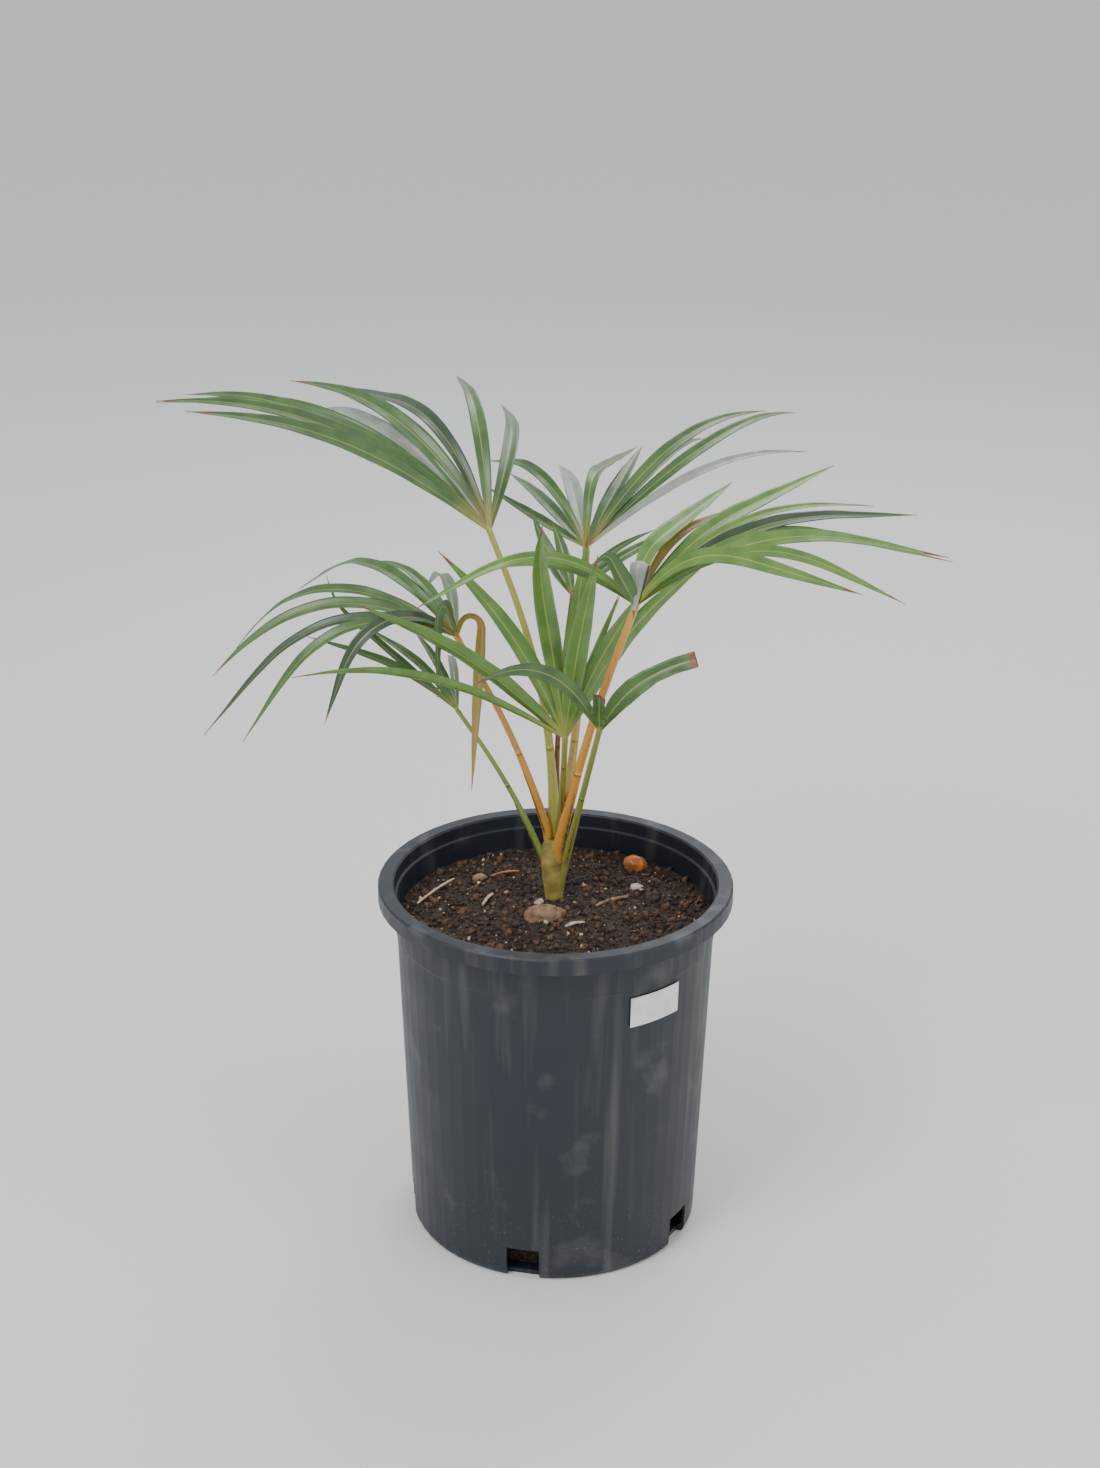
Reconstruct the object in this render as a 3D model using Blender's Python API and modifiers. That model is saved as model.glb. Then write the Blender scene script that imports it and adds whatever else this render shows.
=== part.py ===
"""A young fan palm in a round black nursery pot.

Metres, +Z up, origin at the centre of the pot's flat underside, -Y towards the front.
The stem stands on the potting mix. From it rise the leaf stalks, and each stalk's tip
carries a fan of narrow folded leaflets.
"""

from collections import namedtuple

import bmesh
import bpy
import numpy as np
from mathutils import Matrix, Vector

MM = 0.001
CLEAR = 0.3 * MM  # between pieces that rest on each other
CAP_WELD = 0.02 * MM

# Pot
POT_HEIGHT = 317 * MM
RIM_RADIUS = 150 * MM
RIM_DEPTH = 14 * MM
RIM_FLAT = 13.5 * MM
SKIRT_WALL = 2.5 * MM
WALL = 2.5 * MM
NECK_RADIUS = 136.5 * MM  # outside, just under the rim
BASE_RADIUS = 124.8 * MM
BASE_ROUND = 5 * MM
FLOOR = 4 * MM
BAND_FOOT = 272 * MM  # height at which the upper band steps out
BAND_STEP = 0.9 * MM
LEDGE = 304 * MM
POT_STEPS = 60
NOTCH_COUNT = 5
NOTCH_WIDTH = 28 * MM
NOTCH_HEIGHT = 29 * MM
NOTCH_DEPTH = 9 * MM
NOTCH_TURN = -12  # degrees from the front, towards +X

# Potting mix
MIX_TOP = 288 * MM
MIX_EDGE_DROP = 4 * MM
MIX_FLAT_RADIUS = 60 * MM
MIX_FOOT_RADIUS = 106 * MM  # set back from the drain notches
MIX_FOOT_HEIGHT = 34 * MM
MIX_STEPS = 48

# Stem
STEM_X = -1.5 * MM
STEM_Y = 21 * MM
STEM_RINGS = ((0, 7.6), (7, 8.8), (20, 10.6), (38, 12.2), (50, 11.2), (59, 7.5))  # height, radius
STEM_SIDES = 14
SHEATH_LENGTH = 80 * MM  # of a stalk that is one piece with the stem
SHEATH_FAT = 1.25
SHEATH_ROOT_DROP = 30 * MM

# Stalks and leaflets: angles in degrees, other sizes in millimetres. A heading turns from
# +X towards +Y, and a rise is the angle above level. Droop and sway are how far the course
# has bent down and aside at its tip.
Stalk = namedtuple("Stalk", "foot heading rise length droop thick_foot thick_tip face")
Leaflet = namedtuple(
    "Leaflet",
    "heading rise length droop sway width middle spread cut",
    defaults=(0, 12, 0.5, 0.5, False),
)
STALKS = {
    "upper_left": Stalk((-1, 25, 346), 156, 88, 272, 22, 9, 5, (-85, 45)),
    "back": Stalk((5, 31, 345), 75, 57, 248, -31, 8, 6, (-95, 50)),
    "right": Stalk((2, 14, 339), -47, 74, 256, 8, 9, 6, (-110, 50)),
    "front": Stalk((3, 21, 349), -84, 65, 109, -11, 6, 5, (90, 20)),
    "left": Stalk((-7, 20, 353), -158, 72, 202, 11, 7, 5, (-60, 50)),
    "lower_left": Stalk((-9, 20, 324), -171, 68, 161, 11, 5, 4, (-70, 50)),
    "lower_right": Stalk((8, 14, 326), -66, 66, 159, 0, 6, 5, (-100, 45)),
    "inner": Stalk((1, 32, 346), 68, 93, 208, 23, 5, 4, (-100, 40)),
}
LEAFLETS = {
    "upper_left": (
        Leaflet(200, 40, 310, 26, 28, 14),
        Leaflet(193, 42, 345, 31, 42, 12),
        Leaflet(180, 43, 325, 55, -45, 12),
        Leaflet(170, 43, 370, 54, -30, 12, 0.4, 0.4),
        Leaflet(153, 44, 310, 60, -35, 13, 0.4, 0.4),
        Leaflet(144, 48, 254, 53, -6, 16),
        Leaflet(128, 56, 325, 63, -8, 13, 0.3, 0.3),
        Leaflet(100, 65, 235, 70, 0, 13, 0.4, 0.4),
        Leaflet(78, 30, 285, 38, 18, 13, 0.4, 0.4),
    ),
    "back": (
        Leaflet(134, 12, 130, 0, 0, 9),
        Leaflet(126, 46, 196, 60, -10, 10, 0.4, 0.4),
        Leaflet(114, 12, 200, 18, -8, 11),
        Leaflet(96, 16, 220, 27, 0, 15),
        Leaflet(84, 83, 244, 91, -8, 12, 0.2, 0.2),
        Leaflet(70, 22, 178, 16, 5, 14),
        Leaflet(56, 26, 280, 40, 18, 9),
        Leaflet(45, 40, 272, 49, 8, 12),
        Leaflet(37, 32, 335, 45, 28, 11),
        Leaflet(24, 33, 262, 46, 24, 8),
    ),
    "right": (
        Leaflet(173, 37, 134, 54, 0, 9),
        Leaflet(183, 45, 200, 76, 0, 9, 0.4, 0.4),
        Leaflet(60, 85, 176, 75, -4, 16, 0.2, 0.2),
        Leaflet(54, 49, 200, 52, 0, 9, 0.3, 0.3),
        Leaflet(42, 36, 257, 30, 5, 15, 0.3, 0.3),
        Leaflet(30, 38, 228, 46, -12, 9),
        Leaflet(19, 37, 261, 43, 3, 13, 0.4, 0.4),
        Leaflet(9, 41, 330, 60, 25, 8, 0.3, 0.3),
        Leaflet(-4, 39, 272, 54, 20, 13, 0.4, 0.4),
        Leaflet(-17, 41, 262, 48, -32, 10, 0.4, 0.4),
        Leaflet(-29, 54, 226, 56, -12, 13, 0.3, 0.3),
        Leaflet(244, 112, 86, 194, 0, 15, 0.44, 0.14),
        Leaflet(221, 58, 74, 102, 0, 14, 0.8, 0.15),
    ),
    "front": (
        Leaflet(200, 35, 290, 24, 34, 9),
        Leaflet(194, 47, 228, 18, 18, 15),
        Leaflet(202, 68, 206, 20, 0, 15),
        Leaflet(248, 73, 290, 36, 25, 17),
        Leaflet(284, 68, 211, 10, 0, 18),
        Leaflet(50, 84, 172, 6, 0, 15),
        Leaflet(70, 35, 160, 10, 0, 8),
        Leaflet(60, 50, 134, 4, 0, 8),
        Leaflet(40, 61, 145, 18, 0, 16),
        Leaflet(38, 55, 208, 36, 4, 16),
    ),
    "left": (
        Leaflet(-8, 76, 184, 170, 0, 10, 0.14, 0.1),
        Leaflet(96, 14, 236, 45, 6, 12),
        Leaflet(132, 47, 134, 63, 0, 10),
        Leaflet(146, 40, 230, 71, -20, 13, 0.4, 0.4),
        Leaflet(160, 26, 242, 76, -12, 11),
        Leaflet(172, 25, 224, 71, 15, 12),
        Leaflet(184, 22, 248, 72, 0, 10, 0.4, 0.4),
        Leaflet(195, 25, 222, 81, -6, 10, 0.4, 0.4),
        Leaflet(205, 40, 168, 109, 0, 11, 0.4, 0.4),
        Leaflet(244, 62, 121, 152, 0, 11, 0.36, 0.14),
    ),
    "lower_left": (
        Leaflet(174, 41, 140, 26, 0, 8, 0.4, 0.4),
        Leaflet(160, 36, 158, -40, 0, 7, 0.85, 0.15),
        Leaflet(148, 48, 112, 29, 0, 8, 0.4, 0.4),
        Leaflet(122, 48, 90, 30, 0, 8),
        Leaflet(95, 16, 157, 39, 0, 8),
    ),
    "lower_right": (
        Leaflet(205, 61, 158, 66, 24, 13),
        Leaflet(268, 60, 44, 0, 0, 14, 0.5, 0.5, True),
        Leaflet(0, 59, 101, 41, 0, 17, 0.5, 0.5, True),
    ),
    "inner": (
        Leaflet(130, 40, 80, -15, 0, 12),
        Leaflet(112, 60, 70, 25, 0, 11),
        Leaflet(20, 51, 90, 34, 0, 7),
        Leaflet(0, 43, 112, 22, 0, 9),
    ),
}
COURSE_STEPS = 20
KNOT_LENGTH = 5 * MM  # the leaflets start this far past the stalk's tip
KNOT_TOP = 4 * MM
KNOT_SIDES = 10
BLADE_SPANS = 9
BLADE_THICK = 3 * MM
BLADE_TIP_THICK = 1 * MM
BLADE_LIFT = 1 * MM  # how far a blade's edges stand above its fold
WIDEST = 0.4  # share of the length
ROOT_WIDTH = 0.28  # share of the greatest width
TIP_WIDTH = 0.06
CUT_WIDTH = 0.8

COLOURS = {
    "pot": (0.018, 0.026, 0.038, 0.42),
    "mix": (0.045, 0.028, 0.018, 0.95),
    "stem": (0.42, 0.36, 0.05, 0.5),
    "stalk": (0.48, 0.33, 0.04, 0.4),
    "leaf": (0.045, 0.11, 0.025, 0.4),
}


def clear_scene():
    for item in list(bpy.data.objects):
        bpy.data.objects.remove(item, do_unlink=True)


def new_collection(name):
    collection = bpy.data.collections.new(name)
    bpy.context.scene.collection.children.link(collection)
    return collection


def make_material(name):
    red, green, blue, roughness = COLOURS[name]
    material = bpy.data.materials.new(name)
    material.use_nodes = True
    shader = material.node_tree.nodes["Principled BSDF"]
    shader.inputs["Base Color"].default_value = (red, green, blue, 1)
    shader.inputs["Roughness"].default_value = roughness
    shader.inputs["Metallic"].default_value = 0
    return material


def add_object(name, data, collection, material=None):
    item = bpy.data.objects.new(name, data)
    collection.objects.link(item)
    if material:
        data.materials.append(material)
    return item


def mesh_object(name, form, collection, material=None):
    """Makes an object of a bmesh and frees the bmesh."""
    mesh = bpy.data.meshes.new(name)
    bmesh.ops.recalc_face_normals(form, faces=form.faces)
    form.to_mesh(mesh)
    form.free()
    return add_object(name, mesh, collection, material)


def shade_round(item, angle=35):
    item.data.shade_smooth()
    item.data.set_sharp_from_angle(angle=np.radians(angle))


def turned(name, profile, steps, collection, material):
    """Turns a profile of (radius, height) about Z; it runs from the inside, over the top, down the outside."""
    form = bmesh.new()
    points = [form.verts.new((radius, 0, height)) for radius, height in profile]
    for upper, lower in zip(points[:-1], points[1:]):
        form.edges.new((upper, lower))
    mesh = bpy.data.meshes.new(name)
    form.to_mesh(mesh)
    form.free()
    item = add_object(name, mesh, collection, material)
    screw = item.modifiers.new("turn", "SCREW")
    screw.steps = steps
    screw.render_steps = steps
    screw.use_merge_vertices = True
    screw.merge_threshold = 0.00005
    screw.use_smooth_shade = True
    return item


def baked(item, collection, weld=CAP_WELD):
    """Swaps an object for a plain mesh of what the viewport shows, with loose caps welded on if asked."""
    bpy.context.view_layer.update()
    evaluated = item.evaluated_get(bpy.context.evaluated_depsgraph_get())
    mesh = bpy.data.meshes.new_from_object(evaluated)
    form = bmesh.new()
    form.from_mesh(mesh)
    if weld:
        bmesh.ops.remove_doubles(form, verts=form.verts, dist=weld)
        bmesh.ops.recalc_face_normals(form, faces=form.faces)
    form.to_mesh(mesh)
    form.free()
    place = item.matrix_world.copy()
    name = item.name
    bpy.data.objects.remove(item, do_unlink=True)
    copy = bpy.data.objects.new(name, mesh)
    copy.matrix_world = place
    collection.objects.link(copy)
    return copy


def shells_of(form):
    """The mesh's faces, grouped by the shell that they belong to, across their shared edges."""
    seen = set()
    shells = []
    for seed in form.faces:
        if seed in seen:
            continue
        seen.add(seed)
        shell = [seed]
        for face in shell:
            near = [other for edge in face.edges for other in edge.link_faces]
            new = [other for other in dict.fromkeys(near) if other not in seen]
            seen.update(new)
            shell.extend(new)
        shells.append(shell)
    return shells


def keep_main_shell(item):
    """Fills hollows that the joining sealed and drops loose scraps: only the largest shell stays."""
    form = bmesh.new()
    form.from_mesh(item.data)
    shells = shells_of(form)
    largest = max(shells, key=len)
    extra = [face for shell in shells if shell is not largest for face in shell]
    bmesh.ops.delete(form, geom=extra, context="FACES")
    form.to_mesh(item.data)
    form.free()


def joined(base, others, collection, solver="EXACT"):
    """Unites a solid with a collection of solids and removes the collection's objects."""
    union = base.modifiers.new("join", "BOOLEAN")
    union.operation = "UNION"
    union.operand_type = "COLLECTION"
    union.collection = others
    union.solver = solver
    result = baked(base, collection, weld=0)
    keep_main_shell(result)
    for item in list(others.objects):
        bpy.data.objects.remove(item, do_unlink=True)
    bpy.data.collections.remove(others)
    return result


def wall_radius(height):
    """The pot's outside, a cone from the base to the neck, stepped in under the upper band."""
    share = height / (POT_HEIGHT - RIM_DEPTH)
    radius = BASE_RADIUS + (NECK_RADIUS - BASE_RADIUS) * share
    return radius if height > BAND_FOOT else radius - BAND_STEP


def pot_profile():
    lip = 1.5 * MM
    under = POT_HEIGHT - RIM_DEPTH
    band_run = 2 * MM
    inner = [
        (0, FLOOR),
        (wall_radius(FLOOR) - WALL - BASE_ROUND, FLOOR),
        (wall_radius(FLOOR + BASE_ROUND) - WALL, FLOOR + BASE_ROUND),
        (wall_radius(BAND_FOOT) - WALL, BAND_FOOT),
        (wall_radius(BAND_FOOT + band_run) - WALL, BAND_FOOT + band_run),
        (wall_radius(LEDGE) - WALL, LEDGE),
        (RIM_RADIUS - RIM_FLAT - lip / 2, LEDGE + lip),
        (RIM_RADIUS - RIM_FLAT, POT_HEIGHT - lip),
        (RIM_RADIUS - RIM_FLAT + lip, POT_HEIGHT),
    ]
    rim = [
        (RIM_RADIUS - lip, POT_HEIGHT),
        (RIM_RADIUS, POT_HEIGHT - lip),
        (RIM_RADIUS, under),
        (RIM_RADIUS - SKIRT_WALL, under),
        (RIM_RADIUS - SKIRT_WALL, POT_HEIGHT - SKIRT_WALL),
        (RIM_RADIUS - RIM_FLAT + SKIRT_WALL, POT_HEIGHT - SKIRT_WALL),
        (NECK_RADIUS + lip / 2, under + lip),
        (NECK_RADIUS, under - lip),
    ]
    outer = [
        (wall_radius(BAND_FOOT + band_run), BAND_FOOT + band_run),
        (wall_radius(BAND_FOOT), BAND_FOOT),
        (wall_radius(BASE_ROUND), BASE_ROUND),
        (wall_radius(0) - BASE_ROUND * 0.3, BASE_ROUND * 0.3),
        (wall_radius(0) - BASE_ROUND, 0),
        (0, 0),
    ]
    return inner + rim + outer


def around(radius, degrees):
    """A point at a bearing from the front, positive towards +X."""
    turn = np.radians(degrees)
    return Vector((radius * np.sin(turn), -radius * np.cos(turn), 0))


def make_pot(parts, cutters):
    pot = turned("pot", pot_profile(), POT_STEPS, parts, make_material("pot"))
    for index in range(NOTCH_COUNT):
        bearing = NOTCH_TURN + index * 360 / NOTCH_COUNT
        form = bmesh.new()
        bmesh.ops.create_cube(form, size=1)
        reach = 2 * NOTCH_DEPTH
        size = Matrix.Diagonal((NOTCH_WIDTH, reach, 2 * NOTCH_HEIGHT, 1))
        bmesh.ops.transform(form, matrix=size, verts=form.verts)
        cutter = mesh_object(f"notch_{index}", form, cutters)
        cutter.location = around(BASE_RADIUS, bearing)
        cutter.rotation_euler = (0, 0, np.radians(bearing))
        cutter.hide_render = True
        cutter.display_type = "WIRE"
    cut = pot.modifiers.new("notches", "BOOLEAN")
    cut.operand_type = "COLLECTION"
    cut.collection = cutters
    cut.solver = "EXACT"
    return pot


def make_mix(parts):
    """The filling, 0.3 mm clear of the pot, with its foot set back behind the notches."""
    floor = FLOOR + CLEAR
    edge = MIX_TOP - MIX_EDGE_DROP
    skin = WALL + CLEAR * 1.5
    profile = [
        (0, MIX_TOP),
        (MIX_FLAT_RADIUS, MIX_TOP),
        (wall_radius(edge) - skin - 12 * MM, edge + 0.6 * MM),
        (wall_radius(edge) - skin, edge - 2 * MM),
        (wall_radius(BAND_FOOT + 2 * MM) - skin, BAND_FOOT + 3 * MM),
        (wall_radius(BAND_FOOT) - skin, BAND_FOOT),
        (wall_radius(MIX_FOOT_HEIGHT) - skin, MIX_FOOT_HEIGHT),
        (MIX_FOOT_RADIUS, MIX_FOOT_HEIGHT - 3 * MM),
        (MIX_FOOT_RADIUS, floor),
        (0, floor),
    ]
    return turned("potting_mix", profile, MIX_STEPS, parts, make_material("mix"))


def direction(heading, rise):
    """Unit vectors of headings and rises given in radians."""
    level = np.cos(rise)
    return np.stack([level * np.cos(heading), level * np.sin(heading), np.sin(rise)], -1)


def course(start, shape, middle=0.5, spread=0.5, sway=0, steps=COURSE_STEPS):
    """A bending line: its rise falls by the droop and its heading turns by the sway, both as a smooth
    step of the share of the length, centred on middle and spread that far to each side."""

    def angles(share):
        step = np.clip((share - middle + spread) / (2 * spread), 0, 1)
        done = step * step * (3 - 2 * step)
        return np.radians(shape.heading + sway * done), np.radians(shape.rise - shape.droop * done)

    share = np.arange(steps + 1) / steps
    strides = direction(*angles(share[:-1] + 0.5 / steps)) * shape.length * MM / steps
    points = np.asarray(start, float) + np.vstack([np.zeros(3), np.cumsum(strides, 0)])
    heading, rise = angles(share)
    ahead = direction(heading, rise)
    above = direction(heading, rise + np.pi / 2)
    return points, ahead, above


def stalk_course(stalk, steps=COURSE_STEPS):
    return course(Vector(stalk.foot) * MM, stalk, steps=steps)


def part_of(points, first, last, count):
    """Points evenly spaced along a polyline between two shares of its length."""
    run = np.concatenate([[0], np.cumsum(np.linalg.norm(np.diff(points, axis=0), axis=1))])
    wanted = np.linspace(first, last, count) * run[-1]
    return np.stack([np.interp(wanted, run, points[:, axis]) for axis in range(3)], -1)


def limb(name, points, radii, collection, material=None, resolution=2):
    """A round limb along points, as thick at each as its radius."""
    curve = bpy.data.curves.new(name, "CURVE")
    curve.dimensions = "3D"
    curve.bevel_depth = 1
    curve.bevel_resolution = resolution
    curve.use_fill_caps = True
    spline = curve.splines.new("POLY")
    spline.points.add(len(points) - 1)
    for knot, place, radius in zip(spline.points, points, radii):
        knot.co = (*place, 1)
        knot.radius = radius
    item = add_object(name, curve, collection)
    solid = baked(item, collection)
    if material:
        solid.data.materials.append(material)
    return solid


def stalk_radius(stalk, share):
    """Half the stalk's thickness, which thins quickly at the foot and slowly above."""
    thin = share ** 0.7
    return (stalk.thick_foot + (stalk.thick_tip - stalk.thick_foot) * thin) / 2 * MM


def share_of(stalk, length):
    return length / (stalk.length * MM)


def make_stalk(name, stalk, parts, material):
    points, _, _ = stalk_course(stalk)
    first = share_of(stalk, SHEATH_LENGTH + CLEAR)
    last = 1 - share_of(stalk, KNOT_LENGTH + CLEAR)
    line = part_of(points, first, last, 14)
    radii = [stalk_radius(stalk, share) for share in np.linspace(first, last, len(line))]
    return limb(f"petiole_{name}", line, radii, parts, material)


def stem_core(collection):
    """The stem's core, a stack of rings with its foot cut flat on the potting mix."""
    form = bmesh.new()
    rings = []
    for height, radius in STEM_RINGS:
        centre = Vector((STEM_X, STEM_Y, MIX_TOP + CLEAR + height * MM))
        turns = np.arange(STEM_SIDES) * 2 * np.pi / STEM_SIDES
        places = [centre + Vector((np.cos(turn), np.sin(turn), 0)) * radius * MM for turn in turns]
        rings.append([form.verts.new(place) for place in places])
    bridge(form, rings)
    return mesh_object("stem", form, collection)


def bridge(form, rings):
    """Skins a row of like rings of points and caps both ends."""
    for lower, upper in zip(rings[:-1], rings[1:]):
        count = len(lower)
        for index in range(count):
            after = (index + 1) % count
            form.faces.new((lower[index], lower[after], upper[after], upper[index]))
    form.faces.new(list(reversed(rings[0])))
    form.faces.new(rings[-1])


def make_stem(parts):
    """The core with each stalk's sheath, which runs up from inside it to where the stalk stands free."""
    sheaths = new_collection("sheaths")
    for name, stalk in STALKS.items():
        points, _, _ = stalk_course(stalk)
        reach = share_of(stalk, SHEATH_LENGTH)
        free = part_of(points, 0, reach, 8)
        root = np.array([STEM_X, STEM_Y, free[0][2] - SHEATH_ROOT_DROP])
        root = root * 0.55 + np.array([free[0][0], free[0][1], root[2]]) * 0.45
        line = np.vstack([root, free])
        shares = np.linspace(0, reach, len(free))
        fat = SHEATH_FAT + (1 - SHEATH_FAT) * shares / reach
        radii = [stalk_radius(stalk, share) for share in shares] * fat
        limb(f"sheath_{name}", line, [radii[0] * 0.8, *radii], sheaths)
    stem = joined(stem_core(parts), sheaths, parts)
    stem.data.materials.append(make_material("stem"))
    shade_round(stem)
    return stem


def width_share(share, cut):
    """A blade's width as a share of its greatest: narrow at the root, fine at the tip unless cut."""
    opening = ROOT_WIDTH + (1 - ROOT_WIDTH) * np.sin(np.clip(share / WIDEST, 0, 1) * np.pi / 2)
    closing = np.sin(np.clip((1 - share) / (1 - WIDEST), 0, 1) * np.pi / 2)
    full = np.where(share < WIDEST, opening, closing)
    least = np.where(share < WIDEST, 0, CUT_WIDTH if cut else TIP_WIDTH)
    return np.maximum(full, least)


def blade(name, start, leaflet, face, collection):
    """A leaflet as a thin folded bar of four sides, its upper face turned to the fan's face."""
    points, ahead, above = course(
        start, leaflet, leaflet.middle, leaflet.spread, leaflet.sway, COURSE_STEPS * BLADE_SPANS
    )
    keep = np.linspace(0, 1, BLADE_SPANS + 1) * (len(points) - 1)
    keep = np.round(keep).astype(int)
    points, ahead, above = points[keep], ahead[keep], above[keep]
    side = np.cross(above, ahead)
    wanted = direction(np.radians(face[0]), np.radians(face[1]))
    roll = np.arctan2(wanted @ side[0], wanted @ above[0])
    up = np.cos(roll) * above + np.sin(roll) * side
    across = np.cos(roll) * side - np.sin(roll) * above
    share = np.linspace(0, 1, BLADE_SPANS + 1)[:, None]
    half = width_share(share, leaflet.cut) * leaflet.width * MM / 2
    thick = BLADE_THICK + (BLADE_TIP_THICK - BLADE_THICK) * share ** 3
    corners = np.stack(
        [
            points - across * half + up * BLADE_LIFT,
            points - up * thick / 2,
            points + across * half + up * BLADE_LIFT,
            points + up * thick / 2,
        ],
        axis=1,
    )
    form = bmesh.new()
    bridge(form, [[form.verts.new(corner) for corner in ring] for ring in corners])
    return mesh_object(name, form, collection)


def make_knot(name, stalk, parts):
    """The knot at the stalk's tip, in which the leaflets root."""
    points, ahead, _ = stalk_course(stalk)
    radius = stalk.thick_tip / 2 * MM
    length = KNOT_LENGTH + KNOT_TOP
    form = bmesh.new()
    bmesh.ops.create_cone(
        form, cap_ends=True, segments=KNOT_SIDES, radius1=radius, radius2=radius * 1.1, depth=length
    )
    knot = mesh_object(f"frond_{name}", form, parts)
    axis = Vector(ahead[-1])
    tip = Vector(points[-1]) + axis * (KNOT_TOP - length / 2)
    knot.matrix_world = Matrix.Translation(tip) @ axis.to_track_quat("Z", "Y").to_matrix().to_4x4()
    return knot


def make_frond(name, stalk, leaflets, parts, material):
    points, _, _ = stalk_course(stalk)
    blades = new_collection("blades")
    for index, leaflet in enumerate(leaflets):
        blade(f"leaflet_{index}", points[-1], leaflet, stalk.face, blades)
    frond = joined(make_knot(name, stalk, parts), blades, parts, solver="MANIFOLD")
    frond.data.materials.append(material)
    shade_round(frond)
    return frond


def main():
    clear_scene()
    parts = new_collection("potted_palm")
    cutters = new_collection("cutters")
    make_pot(parts, cutters)
    make_mix(parts)
    make_stem(parts)
    stalk_finish = make_material("stalk")
    leaf_finish = make_material("leaf")
    for name, stalk in STALKS.items():
        make_stalk(name, stalk, parts, stalk_finish)
        make_frond(name, stalk, LEAFLETS[name], parts, leaf_finish)


main()
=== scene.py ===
"""Looks for a young fan palm in a round dark nursery pot.

Each leaflet, stalk, sheath, soil crumb and label is a surface worked out from named sizes.
"""

from collections import namedtuple

import bpy
import numpy as np
from mathutils import Euler, Matrix, Vector


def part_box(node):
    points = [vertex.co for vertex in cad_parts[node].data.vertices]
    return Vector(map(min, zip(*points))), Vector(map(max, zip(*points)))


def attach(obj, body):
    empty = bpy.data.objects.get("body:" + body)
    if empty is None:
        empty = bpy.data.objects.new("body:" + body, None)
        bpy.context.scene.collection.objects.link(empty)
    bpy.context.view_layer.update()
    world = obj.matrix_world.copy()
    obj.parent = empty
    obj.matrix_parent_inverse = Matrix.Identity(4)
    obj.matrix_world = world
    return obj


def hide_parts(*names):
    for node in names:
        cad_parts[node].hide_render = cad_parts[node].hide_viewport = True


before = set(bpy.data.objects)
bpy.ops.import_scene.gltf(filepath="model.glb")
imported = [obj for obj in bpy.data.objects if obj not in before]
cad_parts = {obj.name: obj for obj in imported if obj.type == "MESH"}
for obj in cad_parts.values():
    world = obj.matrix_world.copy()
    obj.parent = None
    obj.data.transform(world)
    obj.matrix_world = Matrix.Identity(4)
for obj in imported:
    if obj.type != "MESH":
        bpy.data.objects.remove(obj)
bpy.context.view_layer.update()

bl_info = {
    "name": "Potted fan palm",
    "version": (1, 0, 0),
    "blender": (4, 5, 0),
    "location": "3D View > Sidebar > Palm",
    "description": "Builds the leaflets, stalks, stem, soil, pot finish and stage of a potted fan palm",
    "category": "Object",
}

MM = 0.001
FULL_TURN = 2 * np.pi
ROOT = "root"
MIX_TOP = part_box("potting_mix")[1].z

# Stalks and leaflets: angles in degrees, other sizes in millimetres. A heading turns from
# +X towards +Y, and a rise is the angle above level. Droop and sway are how far the course
# has bent down and aside at its tip.
Stalk = namedtuple("Stalk", "foot heading rise length droop thick_foot thick_tip face")
Leaflet = namedtuple(
    "Leaflet",
    "heading rise length droop sway width middle spread cut",
    defaults=(0, 12, 0.5, 0.5, False),
)
STALKS = {
    "upper_left": Stalk((-1, 25, 346), 156, 88, 272, 22, 9, 5, (-85, 45)),
    "back": Stalk((5, 31, 345), 75, 57, 248, -31, 8, 6, (-95, 50)),
    "right": Stalk((2, 14, 339), -47, 74, 256, 8, 9, 6, (-110, 50)),
    "front": Stalk((3, 21, 349), -84, 65, 109, -11, 6, 5, (90, 20)),
    "left": Stalk((-7, 20, 353), -158, 72, 202, 11, 7, 5, (-60, 50)),
    "lower_left": Stalk((-9, 20, 324), -171, 68, 161, 11, 5, 4, (-70, 50)),
    "lower_right": Stalk((8, 14, 326), -66, 66, 159, 0, 6, 5, (-100, 45)),
    "inner": Stalk((1, 32, 346), 68, 93, 208, 23, 5, 4, (-100, 40)),
}
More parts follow.
